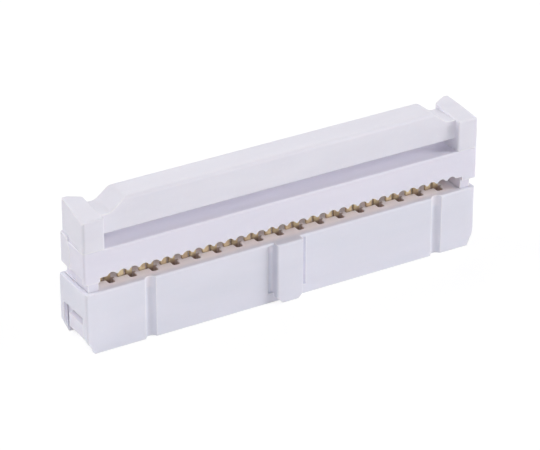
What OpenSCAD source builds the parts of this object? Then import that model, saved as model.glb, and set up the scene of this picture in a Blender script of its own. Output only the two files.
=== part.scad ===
// Ribbon cable socket: a two-row housing with insulation displacement contacts,
// a cable cover that is pressed down over the forks, and a clip-on strain relief.
// X runs along the rows, the polarising key is on the -Y side and Z points up.
// The origin is the middle of the housing's mating face.

/* [Contact grid] */
// Contacts in each of the two rows
contacts_per_row = 17; // [6:1:25]
// Spacing of the contacts along a row, twice the wire spacing of the ribbon
pitch = 2.54; // [2.5:0.01:3]
// Spacing of the two rows
row_pitch = 2.54; // [2.4:0.01:3]

/* [Contacts] */
// Thickness of the stamped strip
strip_t = 0.3; // [0.2:0.01:0.4]
// Width of the wire fork
fork_w = 1.64; // [1.4:0.02:1.7]
// Width of the slot that grips the wire
fork_slot = 0.3; // [0.2:0.01:0.4]
// Width of the fork's mouth between its tips
fork_mouth = 0.86; // [0.6:0.02:1]
// How far the strip is set towards the middle between its beams and its fork
fork_set = 0.45; // [0.3:0.01:0.5]
// Height of the fork's tips above the housing
fork_stand = 1.05; // [0.8:0.05:1.3]
// Depth of the wire slot below the tips
slot_depth = 2.4; // [1.8:0.05:2.6]
// Width across the two pin beams
beams_w = 1.24; // [1.1:0.02:1.3]
// Opening between the beams, above the contact points
beam_gap = 0.7; // [0.66:0.01:0.76]
// Opening between the contact points, a little under the mating pin's 0.64
grip_gap = 0.56; // [0.5:0.01:0.62]
// Depth below the housing's top of the ledge that the contact sits on
ledge_depth = 2.1; // [1.8:0.05:2.4]

/* [Housing] */
// From the last contact's axis to the end of the housing
end_margin = 3.76; // [3.6:0.02:5]
// Depth of the housing, front to back
housing_d = 6; // [5.8:0.1:8]
// Height of the housing
housing_h = 7.1; // [6.8:0.1:9]
// Length of the bevel under each end
end_bevel_x = 0.85; // [0.3:0.05:1.2]
// Height of the bevel under each end
end_bevel_z = 1.92; // [0.8:0.04:2.4]
// Thickness of the front and back walls beside the latch channels
side_wall = 0.35; // [0.3:0.05:0.8]
// Thickness of the web across each end
web_t = 0.46; // [0.36:0.02:0.7]
// Width of the latch window under each web
window_w = 4.3; // [3.4:0.1:4.6]
// Height of the latch window under each web
window_h = 4.1; // [3.6:0.05:4.4]
// Width of the core opening over each contact
core_w = 0.84; // [0.7:0.02:0.9]
// Side of the square pin entry holes
entry_w = 0.95; // [0.8:0.01:1.1]
// Thickness of the floor that the pins enter through
entry_depth = 1.1; // [0.8:0.05:1.4]
// Width of the bevel round each pin entry
entry_bevel = 0.26; // [0.1:0.02:0.34]

/* [Key and grooves] */
// Width of the polarising key
key_w = 3.2; // [2:0.1:4.5]
// How far the key stands out of the front
key_out = 0.8; // [0.4:0.05:1.2]
// Width of the round reliefs beside the key
key_relief_w = 0.9; // [0.6:0.05:1.2]
// Depth of the round reliefs beside the key
key_relief_d = 0.4; // [0.2:0.05:0.6]
// Width of the two round polarising grooves
groove_w = 1.3; // [0.8:0.05:1.6]
// Depth of the two round polarising grooves
groove_d = 0.45; // [0.3:0.05:0.7]

/* [Cover] */
// Gap between the housing and the raised cover
lift = 1.1; // [0.8:0.05:1.4]
// Depth of the cover, front to back
cover_d = 5.9; // [5.6:0.1:8]
// Height of the cover, from its shoulders to the cable slot
cover_h = 3.7; // [3.4:0.05:5]
// How far each end of the cover stands past the housing
cover_over = 0.14; // [0:0.02:0.4]
// Height of the ribs between the wires above the shoulders
cable_room = 0.52; // [0.4:0.02:0.8]
// Radius of the wire grooves under the cover
wire_r = 0.6; // [0.5:0.01:0.62]
// Depth of the wire grooves above the ribs
wire_rise = 0.33; // [0.2:0.01:0.4]
// Height of the notch in each end of the cover, outside its leg
notch_h = 0.75; // [0.4:0.05:1.2]
// Thickness of the latch legs
leg_t = 1.2; // [0.9:0.05:1.3]
// Room under the legs when the cover is down
leg_floor = 0.35; // [0.2:0.05:0.8]
// Width of the latch hooks
hook_w = 3.1; // [2:0.05:3.6]
// Room above the latch hooks in their windows
hook_room = 0.75; // [0.7:0.05:1]

/* [Strain relief] */
// Width of the end posts
post_w = 2.55; // [1.8:0.05:3]
// Height of the end posts at the front
post_h = 3.6; // [3:0.05:4.5]
// How far the top of a post rises towards the back
post_rise = 0.5; // [0:0.05:0.8]
// How far the outer side of a post draws in towards the back
post_taper = 0.45; // [0:0.05:0.6]
// Depth of the end posts, front to back
post_d = 5.5; // [5:0.05:7]
// Height of the cable slot under the bar
slot_h = 1.3; // [0.8:0.05:1.6]
// Height of the bar's top above the cover
bar_h = 4.9; // [4:0.05:6]
// Depth of the bar, front to back
bar_d = 3.45; // [2.5:0.05:4.5]
// Step from the front of the posts back to the bar
bar_step = 0.75; // [0.3:0.05:1.2]
// Length of the slope at each end of the bar's top
slope_run = 1.7; // [1:0.1:3]
// Length of the low stretch between a slope and its post
slope_foot = 1.1; // [0.4:0.1:2]
// Thickness of the arms that clip over the cover's ends
arm_t = 0.85; // [0.6:0.05:1]
// Length of the arms below the top of the cover
arm_len = 3.1; // [2.6:0.05:3.6]

/* [Clearances] */
// Gap round the latch legs in the housing
slide_gap = 0.08; // [0.06:0.01:0.15]
// Gap round a contact in its cavity
contact_gap = 0.07; // [0.04:0.01:0.1]
// Gap round a fork in its pocket in the cover
fork_gap = 0.12; // [0.08:0.01:0.2]
// Gap between a relief arm and the cover
arm_gap = 0.06; // [0.05:0.01:0.2]

/* [Hidden] */
plastic = "lavender";
bronze = "goldenrod";
edge_r = 0.2;
corner_r = 0.3;
arc_steps = 4;
over = 1;

half_row = (contacts_per_row - 1) / 2 * pitch;
half_len = half_row + end_margin;
row_y = row_pitch / 2;
wire_pitch = pitch / 2;
fork_x = wire_pitch / 2;

ledge_z = housing_h - ledge_depth;
tip_z = housing_h + fork_stand;
slot_root = tip_z - slot_depth;
mouth_h = 0.4;
tip_w = 0.22;
tip_taper = 0.5;
beam_root = ledge_z - 1.1;
bend_z = beam_root + 0.12;
beam_foot = entry_depth + 0.15;
beam_shoulder = ledge_z + 0.4;
grip_z = beam_foot + 0.65;
grip_rise = 0.9;
chamber_top = ledge_z - 0.4;
chamber_flex = 0.16;
chamber_d = 1.1;
core_front = 0.58;
core_wall = 0.4;
core_r = 0.25;

channel_half = housing_d / 2 - side_wall;
leg_out = half_len - web_t - slide_gap;
leg_in = leg_out - leg_t;
leg_half = channel_half - slide_gap;
leg_foot = lift + leg_floor;
hook_top = window_h - hook_room;
hook_out = half_len - 0.05;
hook_front = -window_w / 2 + slide_gap;
hook_back = hook_front + hook_w;
cheek_t = 0.3;

cover_z = housing_h + lift;
cover_top = cover_z + cover_h;
ceiling_z = cover_z + cable_room;
half_cover = half_len + cover_over;
pocket_top = tip_z + lift + fork_gap;

post_in = half_cover - post_w;
post_front = -housing_d / 2;
post_back = post_front + post_d;
post_r = 0.5;
post_cut_x = 1.6;
post_cut_y = 0.9;
bar_front = post_front + bar_step;
bar_back = bar_front + bar_d;
valley_r = 1;
crest_r = 1.5;
slope_low = cover_top + post_h - 0.05;
arm_out = half_cover;
arm_in = arm_out - arm_t;
arm_taper = 0.15;
arm_foot = cover_top - arm_len;
arm_top = cover_top + 0.3;
arm_front = 0.15;
arm_lean = 0.45;
lean_z = cover_top - 1;
arm_back = post_back;
barb_in = 0.25;
barb_h = 0.75;
barb_inset = 0.4;

rows = ["a", "b"];
places = [for (i = [0:contacts_per_row - 1]) i];
function pin_x(i) = i * pitch - half_row;
function two_digits(n) = n < 10 ? str("0", n) : str(n);
function contact_name(row, i) = str("contact_", rows[row], two_digits(i + 1));

// One corner of an outline as an arc of radius r, from the side towards a to the side towards b
function unit(v) = v / norm(v);
function corner_arc(a, p, b, r) =
    let (u = unit(a - p), w = unit(b - p), half = acos(u * w) / 2)
    let (c = p + unit(u + w) * r / sin(half))
    let (start = p + u * r / tan(half) - c, end = p + w * r / tan(half) - c)
    let (a0 = atan2(start.y, start.x), a1 = atan2(end.y, end.x))
    let (sweep = (a1 - a0 + 900) % 360 - 180)
    [for (k = [0:arc_steps]) c + r * [cos(a0 + sweep * k / arc_steps), sin(a0 + sweep * k / arc_steps)]];

// Outline from corners [x, y, radius], where radius 0 leaves the corner sharp
function flat(p) = [p.x, p.y];
function rounded(corners) =
    let (n = len(corners))
    [for (i = [0:n - 1]) each corners[i].z == 0
        ? [flat(corners[i])]
        : corner_arc(flat(corners[(i + n - 1) % n]), flat(corners[i]),
            flat(corners[(i + 1) % n]), corners[i].z)];

// Extrudes a Y-Z section along X, between two X values
module along_x(x0, x1) {
    translate([x0, 0, 0]) rotate([90, 0, 90]) linear_extrude(x1 - x0) children();
}

// Extrudes an X-Z elevation along Y, between two Y values
module along_y(y0, y1) {
    translate([0, y1, 0]) rotate([90, 0, 0]) linear_extrude(y1 - y0) children();
}

// Extrudes an X-Y plan along Z, between two heights
module along_z(z0, z1) {
    translate([0, 0, z0]) linear_extrude(z1 - z0) children();
}

module block(x, y, z) {
    translate([x[0], y[0], z[0]]) cube([x[1] - x[0], y[1] - y[0], z[1] - z[0]]);
}

// Places its children at both ends, the -X end mirrored
module both_ends() {
    children();
    mirror([1, 0, 0]) children();
}

// Places its children at every contact, with the forks of the front row towards -X
module each_contact() {
    for (row = [0, 1])
        for (i = places)
            at_contact(row, i) children();
}

module at_contact(row, i) {
    y = row == 0 ? -row_y : row_y;
    translate([pin_x(i), y, 0]) rotate([0, 0, row * 180]) mirror([1, 0, 0]) children();
}

// Outer block of the housing with its bevelled ends and soft edges
module housing_block() {
    y = housing_d / 2;
    intersection() {
        along_z(0, housing_h) polygon(rounded([
            [-half_len, -y, corner_r], [half_len, -y, corner_r],
            [half_len, y, corner_r], [-half_len, y, corner_r]]));
        along_y(-y, y) polygon(rounded([
            [-half_len + end_bevel_x, 0, 0], [half_len - end_bevel_x, 0, 0],
            [half_len, end_bevel_z, edge_r], [half_len, housing_h, edge_r / 2],
            [-half_len, housing_h, edge_r / 2], [-half_len, end_bevel_z, edge_r]]));
        along_x(-half_len, half_len) polygon(rounded([
            [-y, 0, 0], [y, 0, 0], [y, housing_h, edge_r / 2], [-y, housing_h, edge_r]]));
    }
}

// Polarising key in the middle of the front, cut back at its lower corners
module key() {
    front = -housing_d / 2 - key_out;
    foot_cut = 0.7;
    intersection() {
        along_z(0, housing_h) polygon(rounded([
            [-key_w / 2, front, edge_r], [key_w / 2, front, edge_r],
            [key_w / 2, -housing_d / 2 + key_relief_d, 0], [-key_w / 2, -housing_d / 2 + key_relief_d, 0]]));
        along_y(front, 0) polygon([
            [-key_w / 2 + foot_cut, 0], [key_w / 2 - foot_cut, 0], [key_w / 2, foot_cut],
            [key_w / 2, housing_h], [-key_w / 2, housing_h], [-key_w / 2, foot_cut]]);
        along_x(-key_w, key_w) polygon(rounded([
            [front, 0, edge_r], [0, 0, 0], [0, housing_h, 0], [front, housing_h, edge_r]]));
    }
}

// Round groove of a given width and depth in the front face
module front_groove(x, width, depth, z0, z1) {
    r = (width * width / 4 + depth * depth) / (2 * depth);
    translate([x, -housing_d / 2 + depth - r, z0]) cylinder(r = r, h = z1 - z0, $fn = 48);
}

// Polarising grooves over the whole height, and shorter reliefs beside the key
module front_grooves() {
    relief_x = key_w / 2 + key_relief_w / 3;
    relief_z = [1.1, housing_h - 0.3];
    for (place = [1.5, contacts_per_row - 1.5])
        front_groove(pin_x(place), groove_w, groove_d, -over, housing_h + over);
    for (side = [-1, 1])
        front_groove(side * relief_x, key_relief_w, key_relief_d, relief_z[0], relief_z[1]);
}

// Channel for a latch leg at the +X end, open to the end and the mating face below the web
module latch_channel() {
    block([leg_in - slide_gap, half_len - web_t], [-channel_half, channel_half], [-over, housing_h + over]);
    block([leg_in, half_len + over], [-window_w / 2, window_w / 2], [-over, window_h]);
}

// Square hole that widens to a bevel at the mating face
module pin_entry() {
    wide = entry_w / 2 + entry_bevel;
    taper = [[-wide, 0], [wide, 0], [entry_w / 2, entry_bevel], [-entry_w / 2, entry_bevel]];
    intersection() {
        along_y(-wide, wide) polygon(taper);
        along_x(-wide, wide) polygon(taper);
    }
    side = [-entry_w / 2, entry_w / 2];
    block(side, side, [entry_bevel / 2, entry_depth + contact_gap]);
}

// Cavity of one contact: pin entry, room for the beams, core opening and the fork's own slit
module contact_cavity() {
    beams = beams_w / 2 + chamber_flex;
    slit = strip_t / 2 + contact_gap;
    left = -beams_w / 2 - contact_gap;
    right = fork_x + fork_w / 2 + contact_gap;
    front = fork_set - slit;
    back = fork_set + slit;
    foot = chamber_top - contact_gap;
    top = housing_h + over;
    pin_entry();
    block([-beams, beams], [-chamber_d / 2, back], [entry_depth, chamber_top]);
    along_z(foot, top) core_opening();
    block([left, -left], [front, back], [foot, top]);
    block([left, right], [front, back], [ledge_z, top]);
}

// Plan of the opening over a contact, which ends at the wall between the rows
module core_opening() {
    side = core_w / 2;
    back = row_y - core_wall / 2;
    polygon(rounded([
        [-side, -core_front, core_r], [side, -core_front, core_r], [side, back, 0], [-side, back, 0]]));
}

module housing() {
    color(plastic) difference() {
        union() {
            difference() {
                housing_block();
                front_grooves();
            }
            key();
        }
        both_ends() latch_channel();
        each_contact() contact_cavity();
    }
}

// Stamped outline: wire fork above, pin beams below, with a step that sits on the ledge
module contact_outline() {
    left = fork_x - fork_w / 2;
    right = fork_x + fork_w / 2;
    soft = 0.08;
    polygon(rounded([
        [right, ledge_z, 0], [right, tip_z - tip_taper, soft], [right - tip_w, tip_z, soft],
        [fork_x + fork_mouth / 2, tip_z, soft], [fork_x + fork_slot / 2, tip_z - mouth_h, soft],
        [fork_x + fork_slot / 2, slot_root, soft], [fork_x - fork_slot / 2, slot_root, soft],
        [fork_x - fork_slot / 2, tip_z - mouth_h, soft], [fork_x - fork_mouth / 2, tip_z, soft],
        [left + tip_w, tip_z, soft], [left, tip_z - tip_taper, soft],
        [left, beam_shoulder, soft], [-beams_w / 2, beam_shoulder, soft],
        [-beams_w / 2, beam_foot, soft], [-beam_gap / 2 - soft, beam_foot, 0],
        [-grip_gap / 2, grip_z, soft * 2], [-beam_gap / 2, grip_z + grip_rise, 0],
        [-beam_gap / 2, beam_root, soft * 2], [beam_gap / 2, beam_root, soft * 2],
        [beam_gap / 2, grip_z + grip_rise, 0], [grip_gap / 2, grip_z, soft * 2],
        [beam_gap / 2 + soft, beam_foot, 0], [beams_w / 2, beam_foot, soft],
        [beams_w / 2, ledge_z, 0]]));
}

// Edge view of the strip, with the bend that sets the fork towards the middle
module contact_edge() {
    t = strip_t / 2;
    turn = t * tan(22.5);
    bend_top = bend_z + fork_set;
    polygon([
        [-t, beam_foot], [t, beam_foot], [t, bend_z - turn], [fork_set + t, bend_top - turn],
        [fork_set + t, tip_z], [fork_set - t, tip_z], [fork_set - t, bend_top + turn], [-t, bend_z + turn]]);
}

module contact() {
    left = -max(beams_w, fork_w) / 2;
    right = fork_x + fork_w / 2;
    color(bronze) intersection() {
        along_y(-strip_t / 2, fork_set + strip_t / 2) contact_outline();
        along_x(left - over, right + over) contact_edge();
    }
}

// Solid block of the cover, with a shoulder near each end that lands on the housing
module cover_block() {
    y = cover_d / 2;
    intersection() {
        along_z(cover_z, cover_top) polygon(rounded([
            [-half_cover, -y, corner_r], [half_cover, -y, corner_r],
            [half_cover, y, corner_r], [-half_cover, y, corner_r]]));
        along_y(-y, y) polygon(rounded([
            [-half_cover, cover_z, edge_r / 2], [-leg_in, cover_z, 0], [-leg_in, ceiling_z, 0],
            [leg_in, ceiling_z, 0], [leg_in, cover_z, 0], [half_cover, cover_z, edge_r / 2],
            [half_cover, cover_top, 0], [-half_cover, cover_top, 0]]));
        along_x(-half_cover, half_cover) polygon(rounded([
            [-y, cover_z, 0], [y, cover_z, 0], [y, cover_top, edge_r], [-y, cover_top, edge_r]]));
    }
}

// Latch leg at the +X end, with a hook under the housing's web and an opening above the hook
module latch_leg() {
    lead = 0.3;
    nose = 0.15;
    opening_h = 1.3;
    root = leg_out - leg_t / 2;
    difference() {
        along_y(-leg_half, leg_half) polygon([
            [leg_in, leg_foot + lead], [leg_in + lead, leg_foot], [leg_out, leg_foot],
            [leg_out, cover_z + over], [leg_in, cover_z + over]]);
        block([leg_in - over, leg_out + over], [hook_front, hook_back], [hook_top, hook_top + opening_h]);
    }
    along_y(hook_front, hook_back) polygon([
        [root, leg_foot], [hook_out - nose, leg_foot], [hook_out, leg_foot + lead],
        [hook_out, hook_top - nose], [leg_out, hook_top], [root, hook_top]]);
}

// Notch under the cover's +X end, behind a cheek that keeps the front face whole
module end_notch() {
    block([leg_out, half_cover + over], [-cover_d / 2 + cheek_t, cover_d / 2 + over],
        [cover_z - over, cover_z + notch_h]);
}

// Round grooves across the underside of the cover, which leave ribs between the wires
module wire_grooves() {
    wires = 2 * contacts_per_row;
    for (j = [0:wires - 1])
        translate([(j - (wires - 1) / 2) * wire_pitch, 0, ceiling_z + wire_rise - wire_r])
            rotate([90, 0, 0])
            cylinder(r = wire_r, h = cover_d + over, center = true, $fn = 32);
}

// Pocket that a fork's tips enter when the cover is pressed down
module fork_pocket() {
    x = fork_w / 2 + fork_gap;
    y = strip_t / 2 + fork_gap;
    block([fork_x - x, fork_x + x], [fork_set - y, fork_set + y], [ceiling_z - over, pocket_top]);
}

// Side view of a relief arm, its front edge leaning back near the top and moved by a gap
module arm_side(foot, top, back, gap) {
    lean_y = arm_front + arm_lean * (top - lean_z) / (cover_top - lean_z);
    front = arm_front - gap;
    polygon([[front, foot], [back, foot], [back, top], [lean_y - gap, top], [front, lean_z]]);
}

module cover() {
    color(plastic) difference() {
        union() {
            cover_block();
            both_ends() latch_leg();
        }
        wire_grooves();
        each_contact() fork_pocket();
        both_ends() {
            end_notch();
            arm_recess();
        }
    }
}

// Recess in the cover's +X end for a relief arm, deeper at its foot for the barb
module arm_recess() {
    back = cover_d / 2 + over;
    along_x(arm_in - arm_gap, half_cover + over) arm_side(cover_z - over, cover_top + over, back, arm_gap);
    block([arm_in - barb_in - arm_gap, half_cover],
        [arm_front + barb_inset - arm_gap, back], [arm_foot - arm_gap, arm_foot + barb_h + arm_gap]);
}

// Post at the +X end of the strain relief, its inner back corner cut off
module relief_post() {
    top = cover_top + post_h;
    crest = top + post_rise;
    intersection() {
        along_z(cover_top, crest) polygon(rounded([
            [post_in, post_front, edge_r], [half_cover, post_front, corner_r],
            [half_cover - post_taper, post_back, edge_r], [post_in + post_cut_x, post_back, 0],
            [post_in, post_back - post_cut_y, 0]]));
        along_x(post_in, half_cover) polygon(rounded([
            [post_front, cover_top, 0], [post_back, cover_top, 0],
            [post_back, crest, edge_r / 2], [post_front, top, edge_r]]));
        translate([0, post_front, top]) rotate([atan(post_rise / post_d), 0, 0])
            along_y(-over, post_d + over) polygon(rounded([
            [post_in, -2 * post_h, 0], [half_cover, -2 * post_h, 0],
            [half_cover, 0, post_r], [post_in, 0, edge_r]]));
    }
}

// Arm that hangs from a post over the cover's +X end, with a barb at its foot
module relief_arm() {
    intersection() {
        along_x(arm_in, arm_out) arm_side(arm_foot, arm_top, arm_back, 0);
        along_z(arm_foot, arm_top) polygon(rounded([
            [arm_in, arm_front, 0], [arm_out, arm_front, 0],
            [arm_out - arm_taper, arm_back, corner_r], [arm_in, arm_back, 0]]));
    }
    along_y(arm_front + barb_inset, arm_back - corner_r) polygon([
        [arm_in - barb_in, arm_foot + barb_h], [arm_in - barb_in, arm_foot + barb_in],
        [arm_in, arm_foot], [arm_in + arm_t / 2, arm_foot], [arm_in + arm_t / 2, arm_foot + barb_h]]);
}

// Bar over the cable slot, with sloped ends and a soft front edge
module relief_bar() {
    top = cover_top + bar_h;
    foot_x = post_in - slope_foot;
    end_x = post_in + edge_r;
    bottom = cover_top + slot_h;
    intersection() {
        along_y(bar_front, bar_back) polygon(rounded([
            [-end_x, bottom, 0], [end_x, bottom, 0], [end_x, slope_low, 0], [foot_x, slope_low, valley_r],
            [foot_x - slope_run, top, crest_r], [-foot_x + slope_run, top, crest_r],
            [-foot_x, slope_low, valley_r], [-end_x, slope_low, 0]]));
        along_x(-end_x, end_x) polygon(rounded([
            [bar_front, bottom, edge_r], [bar_back, bottom, edge_r],
            [bar_back, top, edge_r], [bar_front, top, edge_r * 2]]));
    }
}

module strain_relief() {
    color(plastic) {
        relief_bar();
        both_ends() {
            relief_post();
            relief_arm();
        }
    }
}

housing();
cover();
strain_relief();
for (row = [0, 1])
    for (i = places)
        at_contact(row, i) contact();
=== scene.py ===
import bpy
import numpy as np
from mathutils import Matrix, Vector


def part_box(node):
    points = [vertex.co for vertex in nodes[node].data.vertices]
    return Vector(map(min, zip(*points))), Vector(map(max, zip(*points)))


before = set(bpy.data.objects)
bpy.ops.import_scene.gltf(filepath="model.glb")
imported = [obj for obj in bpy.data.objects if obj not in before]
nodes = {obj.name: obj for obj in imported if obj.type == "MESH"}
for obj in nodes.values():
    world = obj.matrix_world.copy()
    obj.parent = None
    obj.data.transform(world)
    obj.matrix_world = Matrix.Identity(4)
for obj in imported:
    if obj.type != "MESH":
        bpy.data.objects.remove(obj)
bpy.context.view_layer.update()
scene = bpy.context.scene
mm = 0.001
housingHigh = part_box("housing")[1]  # the housing's highest corner: right end, back face, top
print("frame: %d solids" % len(nodes))


# sRGB hex to linear colour with alpha
def toLinear(hexText):
    srgb = np.array([int(hexText[i:i + 2], 16) for i in (1, 3, 5)]) / 255
    linear = np.where(srgb <= 0.04045, srgb / 12.92, ((srgb + 0.055) / 1.055) ** 2.4)
    return (*linear, 1.0)


# adds one node: its sockets are set from values, or linked where an output is given
def addNode(tree, kind, sockets=None, **settings):
    node = tree.nodes.new(kind)
    for name, value in settings.items():
        setattr(node, name, value)
    for name, value in (sockets or {}).items():
        if isinstance(value, bpy.types.NodeSocket):
            tree.links.new(value, node.inputs[name])
        else:
            node.inputs[name].default_value = value
    return node


def newMaterial(name):
    material = bpy.data.materials.new(name)
    material.use_nodes = True
    material.node_tree.nodes.clear()
    return material, material.node_tree


# pattern scale for a feature of this many millimetres
def perMm(size):
    return 1 / (size * mm)


# cosine between a rounded normal and the face's own: 1 on a flat face, less beside an edge
def edgeTurn(tree, rounded):
    face = addNode(tree, "ShaderNodeNewGeometry")
    turn = addNode(tree, "ShaderNodeVectorMath", {
        0: rounded.outputs["Normal"], 1: face.outputs["True Normal"]}, operation="DOT_PRODUCT")
    return turn.outputs["Value"]


# share that goes from none to full between two heights, in mm over the housing's top
def heightShare(tree, place, heights):
    start, full = [housingHigh.z + height * mm for height in heights]
    height = addNode(tree, "ShaderNodeSeparateXYZ", {"Vector": place})
    share = addNode(tree, "ShaderNodeMapRange", {
        "Value": height.outputs["Z"], "From Min": start, "From Max": full})
    return share.outputs["Result"]


# painted highlight: paler bands along the outer edges of a moulding
edgeHighlightLook = {
    "width": 0.25,          # mm
    "turn": (0.995, 0.85),  # cosine of the edge's turn, from no band to a full one
    "open": (0.7, 0.95),    # free view round a point, from an inner corner to an outer edge
    "share": 0.8,           # of the paler highlight colour at the very edge
    "rays": 6,              # for the rounded normal
    "openRays": 4,          # for the free view
}


# share of the painted edge highlight: where a rounded normal leaves the face's own, but not in inner
# corners
def paintedEdgeHighlight(tree, look=edgeHighlightLook):
    width = look["width"] * mm
    rounded = addNode(tree, "ShaderNodeBevel", {"Radius": width}, samples=look["rays"])
    band = addNode(tree, "ShaderNodeMapRange", {
        "Value": edgeTurn(tree, rounded), "From Min": look["turn"][0], "From Max": look["turn"][1],
        "To Max": look["share"]})
    free = addNode(tree, "ShaderNodeAmbientOcclusion", {
        "Distance": width}, samples=look["openRays"], only_local=True)
    outer = addNode(tree, "ShaderNodeMapRange", {
        "Value": free.outputs["AO"], "From Min": look["open"][0], "From Max": look["open"][1]})
    edge = addNode(tree, "ShaderNodeMath", {
        0: band.outputs["Result"], 1: outer.outputs["Result"]}, operation="MULTIPLY")
    return edge.outputs["Value"]


# painted warm light reflected from the forks onto the plastic round them, and painted brown shade on the
# walls of their slits
reflectedLightLook = {
    "end": 1.7,             # mm, in from the housing's ends
    "face": 0.15,           # mm, in from its front and back
    "below": 1.4,           # mm, under its top
    "above": 3.2,           # mm, over its top
    "fade": 0.8,            # mm, from no cast to a full one
    "core": (0.6, 0.9),     # share of the painted reflected light, from no painted brown shade to full
    "slit": (-0.02, -0.2),  # mm over its top, from walls without painted shade to walls in full painted brown shade
    # painted shade on the walls of the slits
    "brown": "#CBB5AD",
}


# shares of the painted reflected light and of the painted brown shade: the depth inside a box round the
# gap, faded at its sides
def paintedGapLight(tree, place, look=reflectedLightLook):
    middle = (0, 0, housingHigh.z + (look["above"] - look["below"]) / 2 * mm)
    halfHeight = (look["above"] + look["below"]) / 2 * mm
    reach = (housingHigh.x - look["end"] * mm, housingHigh.y - look["face"] * mm, halfHeight)
    away = addNode(tree, "ShaderNodeVectorMath", {0: place, 1: middle}, operation="SUBTRACT")
    away = addNode(tree, "ShaderNodeVectorMath", {0: away.outputs["Vector"]}, operation="ABSOLUTE")
    away = addNode(tree, "ShaderNodeVectorMath", {
        0: away.outputs["Vector"], 1: reach}, operation="SUBTRACT")
    sides = addNode(tree, "ShaderNodeSeparateXYZ", {"Vector": away.outputs["Vector"]})
    far = addNode(tree, "ShaderNodeMath", {
        0: sides.outputs["X"], 1: sides.outputs["Y"]}, operation="MAXIMUM")
    far = addNode(tree, "ShaderNodeMath", {
        0: far.outputs["Value"], 1: sides.outputs["Z"]}, operation="MAXIMUM")
    near = addNode(tree, "ShaderNodeMapRange", {
        "Value": far.outputs["Value"], "From Min": 0.0, "From Max": -look["fade"] * mm})
    core = addNode(tree, "ShaderNodeMapRange", {
        "Value": near.outputs["Result"], "From Min": look["core"][0], "From Max": look["core"][1]})
    paintedSlitShade = addNode(tree, "ShaderNodeMath", {
        0: core.outputs["Result"], 1: heightShare(tree, place, look["slit"])}, operation="MULTIPLY")
    return near.outputs["Result"], paintedSlitShade.outputs["Value"]


# Glass-filled PBT, injection moulded in a spark-eroded tool: a pale lavender grey with a
# satin skin, faint flow marks along the length and a painted highlight in paler bands on the outer edges.
mouldedLook = {
    "flowLength": 14.0,     # mm, flow marks run along the rows
    "flowWidth": 3.2,       # mm
    "flowDetail": 3.0,
    "flowWander": 0.6,
    "flowRange": (0.3, 0.7),  # of the pattern, from deep to pale
    "fibre": 0.5,           # mm, mottling from the glass fibres under the skin
    "fibreDetail": 4.0,
    "fibreCrisp": 0.7,
    "fibreRange": (0.56, 0.74),  # of the pattern, from plain to full share
    "fibreShare": 0.18,     # of the fibre and highlight colour where the fibres show most
    "sparkGrit": 0.28,      # mm, really about 0.03: drawn coarser so that it shows
    "gritDetail": 2.0,
    "gritRange": (0.3, 0.7),  # of the pattern, from smooth to rough
    "gritDepth": 0.05,      # mm
    "bump": 0.06,
    "roughness": (0.42, 0.56),
    "ior": 1.56,
    "softEdge": 0.04,       # mm, radius of the moulded edges
    "edgeRays": 6,
    "scatter": 0.3,         # share of the light that goes a little way in
    "depth": 0.4,           # mm, how far it goes
    "depthByColour": (1.0, 0.82, 0.78),  # red, green, blue
}


def mouldedPlastic(name, pale, deep, fibreAndHighlight, paintedReflection, look=mouldedLook):
    material, tree = newMaterial(name)
    place = addNode(tree, "ShaderNodeTexCoord").outputs["Object"]
    across = perMm(look["flowWidth"])
    along = addNode(tree, "ShaderNodeMapping", {
        "Vector": place, "Scale": (perMm(look["flowLength"]), across, across)})
    flow = addNode(tree, "ShaderNodeTexNoise", {
        "Vector": along.outputs["Vector"], "Scale": 1.0, "Detail": look["flowDetail"],
        "Distortion": look["flowWander"]})
    fibre = addNode(tree, "ShaderNodeTexNoise", {
        "Vector": place, "Scale": perMm(look["fibre"]), "Detail": look["fibreDetail"],
        "Roughness": look["fibreCrisp"]})
    grit = addNode(tree, "ShaderNodeTexNoise", {
        "Vector": place, "Scale": perMm(look["sparkGrit"]), "Detail": look["gritDetail"]})
    # colour: flow marks, then fibres, the painted edge highlight, the painted warm reflected light round
    # the forks and the painted brown shade in the slits
    marks = addNode(tree, "ShaderNodeValToRGB", {"Fac": flow.outputs["Fac"]})
    for stop, at, shade in zip(marks.color_ramp.elements, look["flowRange"], (deep, pale)):
        stop.position = at
        stop.color = toLinear(shade)
    fibres = addNode(tree, "ShaderNodeMapRange", {
        "Value": fibre.outputs["Fac"], "From Min": look["fibreRange"][0],
        "From Max": look["fibreRange"][1], "To Max": look["fibreShare"]})
    near, paintedSlitShade = paintedGapLight(tree, place)
    colour = marks.outputs["Color"]
    for share, shade in ((fibres.outputs["Result"], fibreAndHighlight), (paintedEdgeHighlight(tree), fibreAndHighlight),
                         (near, paintedReflection), (paintedSlitShade, reflectedLightLook["brown"])):
        colour = addNode(tree, "ShaderNodeMixRGB", {
            "Fac": share, "Color1": colour, "Color2": toLinear(shade)}).outputs["Color"]
    skin = addNode(tree, "ShaderNodeMapRange", {
        "Value": grit.outputs["Fac"], "From Min": look["gritRange"][0], "From Max": look["gritRange"][1],
        "To Min": look["roughness"][0], "To Max": look["roughness"][1]})
    soft = addNode(tree, "ShaderNodeBevel", {"Radius": look["softEdge"] * mm}, samples=look["edgeRays"])
    relief = addNode(tree, "ShaderNodeBump", {
        "Height": grit.outputs["Fac"], "Normal": soft.outputs["Normal"],
        "Strength": look["bump"], "Distance": look["gritDepth"] * mm})
    shader = addNode(tree, "ShaderNodeBsdfPrincipled", {
        "Base Color": colour, "Roughness": skin.outputs["Result"],
        "Normal": relief.outputs["Normal"], "IOR": look["ior"],
        "Subsurface Weight": look["scatter"], "Subsurface Scale": look["depth"] * mm,
        "Subsurface Radius": look["depthByColour"]})
    addNode(tree, "ShaderNodeOutputMaterial", {"Surface": shader.outputs["BSDF"]})
    return material
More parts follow.
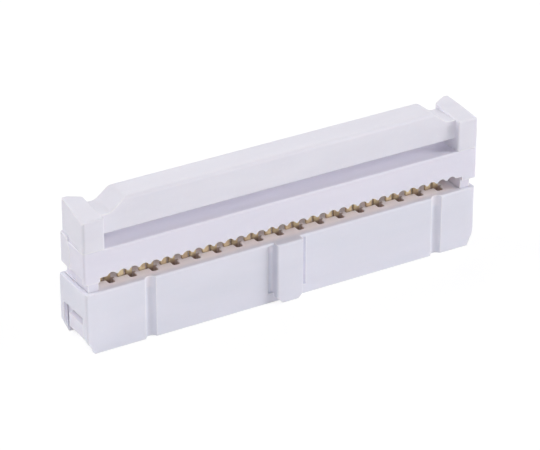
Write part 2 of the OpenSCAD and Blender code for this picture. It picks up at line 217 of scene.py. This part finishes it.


# Phosphor bronze strip, stamped and flashed with gold: rolling lines up the strip, a torn
# darker edge from the punch, tarnish in patches, and browner towards the forks' feet.
bronzeLook = {
    "lineWidth": 0.09,      # mm, rolling lines, really about 0.01: drawn coarser so that they show
    "lineLength": 1.8,      # mm
    "lineDetail": 2.0,
    "lineRange": (0.3, 0.7),  # of the pattern, from smooth to rough
    "lineDepth": 0.02,      # mm
    "bump": 0.12,
    "patch": 0.7,           # mm, tarnish
    "patchDetail": 3.0,
    "patchRange": (0.35, 0.62),  # of the pattern, from tarnish to gold
    "gold": "#F2E2BA",
    "tarnish": "#D2BC9C",
    "torn": "#AE9682",
    "tornTurn": (0.99, 0.8),  # cosine of the edge's turn, from clean to torn
    "tornShare": 0.5,       # of the torn colour at the very edge
    "edge": 0.05,           # mm, radius of the punched edges
    "edgeRays": 6,
    "brown": "#B29A8C",
    "foot": (0.15, -0.2),   # mm over the housing's top, from gold to brown
    "roughness": (0.38, 0.56),
    "metallic": 0.75,       # dulled by a film of tarnish
}


def stampedBronze(name, look=bronzeLook):
    material, tree = newMaterial(name)
    place = addNode(tree, "ShaderNodeTexCoord").outputs["Object"]
    across = perMm(look["lineWidth"])
    upright = addNode(tree, "ShaderNodeMapping", {
        "Vector": place, "Scale": (across, across, perMm(look["lineLength"]))})
    lines = addNode(tree, "ShaderNodeTexNoise", {
        "Vector": upright.outputs["Vector"], "Scale": 1.0, "Detail": look["lineDetail"]})
    patches = addNode(tree, "ShaderNodeTexNoise", {
        "Vector": place, "Scale": perMm(look["patch"]), "Detail": look["patchDetail"]})
    soft = addNode(tree, "ShaderNodeBevel", {"Radius": look["edge"] * mm}, samples=look["edgeRays"])
    edge = addNode(tree, "ShaderNodeMapRange", {
        "Value": edgeTurn(tree, soft), "From Min": look["tornTurn"][0],
        "From Max": look["tornTurn"][1], "To Max": look["tornShare"]})
    foot = heightShare(tree, place, look["foot"])
    # colour: gold and tarnish, then the torn edge and the brown foot
    tone = addNode(tree, "ShaderNodeValToRGB", {"Fac": patches.outputs["Fac"]})
    for stop, at, shade in zip(tone.color_ramp.elements, look["patchRange"], ("tarnish", "gold")):
        stop.position = at
        stop.color = toLinear(look[shade])
    colour = tone.outputs["Color"]
    for share, shade in ((edge.outputs["Result"], "torn"), (foot, "brown")):
        colour = addNode(tree, "ShaderNodeMixRGB", {
            "Fac": share, "Color1": colour, "Color2": toLinear(look[shade])}).outputs["Color"]
    rolled = addNode(tree, "ShaderNodeMapRange", {
        "Value": lines.outputs["Fac"], "From Min": look["lineRange"][0], "From Max": look["lineRange"][1],
        "To Min": look["roughness"][0], "To Max": look["roughness"][1]})
    relief = addNode(tree, "ShaderNodeBump", {
        "Height": lines.outputs["Fac"], "Normal": soft.outputs["Normal"],
        "Strength": look["bump"], "Distance": look["lineDepth"] * mm})
    shader = addNode(tree, "ShaderNodeBsdfPrincipled", {
        "Base Color": colour, "Metallic": look["metallic"],
        "Roughness": rolled.outputs["Result"], "Normal": relief.outputs["Normal"]})
    addNode(tree, "ShaderNodeOutputMaterial", {"Surface": shader.outputs["BSDF"]})
    return material


# one plastic in three close shades; its tint round the forks is painted warm reflected light
mouldingColours = {
    "housing": {"pale": "#E2E1EC", "deep": "#DDDDE8", "fibreAndHighlight": "#F1F0F2", "paintedReflection": "#F7EFF3"},
    "cover": {"pale": "#E4E1ED", "deep": "#DFDCE9", "fibreAndHighlight": "#F2F0F2", "paintedReflection": "#E4D8D6"},
    "strain_relief": {"pale": "#E4E2EB", "deep": "#DFDDE7", "fibreAndHighlight": "#F3F1F2", "paintedReflection": "#F7EFF3"},
}
plastics = {}
for name, colours in mouldingColours.items():
    plastics[name] = mouldedPlastic("moulded PBT " + name.replace("_", " "), **colours)
bronze = stampedBronze("stamped phosphor bronze")
for name, solid in nodes.items():
    solid.material_slots[0].material = plastics.get(name, bronze)
print("finishes: %d on %d solids" % (len(plastics) + 1, len(nodes)))


# rays that see the plain white background: the camera's own, mirrored ones and those let through
def whiteRays(tree):
    path = addNode(tree, "ShaderNodeLightPath")
    rays = addNode(tree, "ShaderNodeMath", {
        0: path.outputs["Is Camera Ray"], 1: path.outputs["Is Glossy Ray"]}, operation="MAXIMUM")
    rays = addNode(tree, "ShaderNodeMath", {
        0: rays.outputs["Value"], 1: path.outputs["Is Transmission Ray"]}, operation="MAXIMUM")
    return rays.outputs["Value"]


floorLook = {
    "size": 0.6,            # m, small so that a low view has the white room behind the part
    "steps": 9,             # points along a side
    "drop": 0.02,           # mm, just clear of the part's underside
    "paper": "#F7F7F8",
    "glow": 1.12,           # strength of the white that the camera sees
    "glowShare": 0.72,      # the rest is lit paper, which keeps the part's shadow
}


# pale studio floor: a square grid of points at one height
def studioFloor(look=floorLook):
    n = look["steps"]
    side = np.linspace(-0.5, 0.5, n) * look["size"]
    x, y = np.meshgrid(side, side)
    points = np.stack([x, y, np.full_like(x, -look["drop"] * mm)], axis=-1).reshape(-1, 3)
    first = (np.arange(n - 1)[:, None] * n + np.arange(n - 1)).ravel()
    quads = np.stack([first, first + 1, first + n + 1, first + n], axis=-1)
    mesh = bpy.data.meshes.new("studio floor")
    mesh.from_pydata(points.tolist(), [], quads.tolist())
    floor = bpy.data.objects.new("studioFloor", mesh)
    scene.collection.objects.link(floor)
    material, tree = newMaterial("white paper floor")
    share = addNode(tree, "ShaderNodeMath", {
        0: whiteRays(tree), 1: look["glowShare"]}, operation="MULTIPLY")
    paper = addNode(tree, "ShaderNodeBsdfDiffuse", {"Color": toLinear(look["paper"])})
    glow = addNode(tree, "ShaderNodeEmission", {"Strength": look["glow"]})
    both = addNode(tree, "ShaderNodeMixShader", {
        0: share.outputs["Value"], 1: paper.outputs["BSDF"], 2: glow.outputs["Emission"]})
    addNode(tree, "ShaderNodeOutputMaterial", {"Surface": both.outputs["Shader"]})
    mesh.materials.append(material)


# faint even light from the room, which is seen as plain white
roomLook = {"light": 0.06, "seen": 1.0, "wall": "#FFFFFF"}


def studioRoom(look=roomLook):
    world = bpy.data.worlds.new("studio")
    scene.world = world
    world.use_nodes = True
    tree = world.node_tree
    tree.nodes.clear()
    level = addNode(tree, "ShaderNodeMapRange", {
        "Value": whiteRays(tree), "To Min": look["light"], "To Max": look["seen"]})
    room = addNode(tree, "ShaderNodeBackground", {
        "Color": toLinear(look["wall"]), "Strength": level.outputs["Result"]})
    addNode(tree, "ShaderNodeOutputWorld", {"Surface": room.outputs["Background"]})


# place and turn of a lamp or camera that stands level, with its back along the given direction
def standing(place, back):
    up = (0, 0, 1)
    back = np.array(back) / np.linalg.norm(back)
    right = np.cross(up, back)
    right /= np.linalg.norm(right)
    matrix = np.eye(4)
    matrix[:3, :3] = np.stack([right, np.cross(back, right), back], axis=1)
    matrix[:3, 3] = place
    return Matrix(matrix.tolist())


# soft boxes aimed at the origin: place, width and height in metres, power in watts
softBoxes = {
    "leftTop": {"place": (-0.4, 0.0, 0.5), "wide": 0.4, "high": 0.4, "power": 0.4},
    "leftBack": {"place": (-0.4, 0.35, 0.45), "wide": 0.4, "high": 0.4, "power": 2.28},
    "backTop": {"place": (0.1, 0.5, 0.42), "wide": 0.5, "high": 0.5, "power": 0.9},
    "right": {"place": (0.65, -0.14, 0.12), "wide": 0.25, "high": 0.2, "power": 0.55},
    "rightFront": {"place": (0.5, -0.3, 0.3), "wide": 0.22, "high": 0.22, "power": 2.35},
    "front": {"place": (-0.35, -0.6, 0.37), "wide": 0.3, "high": 0.3, "power": 1.9},
}


def softBox(name, place, wide, high, power):
    lamp = bpy.data.lights.new(name, "AREA")
    lamp.shape = "RECTANGLE"
    lamp.size = wide
    lamp.size_y = high
    lamp.energy = power
    holder = bpy.data.objects.new(name, lamp)
    holder.matrix_world = standing(place, place)
    scene.collection.objects.link(holder)


studioFloor()
studioRoom()
for name, box in softBoxes.items():
    softBox(name, **box)
print("studio: floor, room and %d soft boxes" % len(softBoxes))

# long lens from the front left, held level, fitted to the edges in the photograph
cameraLook = {
    "aim": (-0.32, 0.0, 7.55),  # mm, the point in the middle of the picture
    "distance": 317.23,     # mm from that point
    "azimuth": -30.85,      # degrees round from the front, to the left
    "elevation": 27.87,     # degrees above the floor
    "lens": 198.39,         # mm
    "sensor": 36.0,         # mm
    "nearest": 10.0,        # mm
}


def photoCamera(look=cameraLook):
    azimuth, elevation = np.radians([look["azimuth"], look["elevation"]])
    level = np.cos(elevation)
    back = np.array([np.sin(azimuth) * level, -np.cos(azimuth) * level, np.sin(elevation)])
    place = (np.array(look["aim"]) + back * look["distance"]) * mm
    lens = bpy.data.cameras.new("camera")
    lens.lens = look["lens"]
    lens.sensor_width = look["sensor"]
    lens.sensor_fit = "HORIZONTAL"
    lens.clip_start = look["nearest"] * mm
    camera = bpy.data.objects.new("camera", lens)
    camera.matrix_world = standing(place, back)
    scene.collection.objects.link(camera)
    scene.camera = camera


photoCamera()
print("camera: %.1f mm lens" % cameraLook["lens"])

scene.view_settings.view_transform = "Standard"
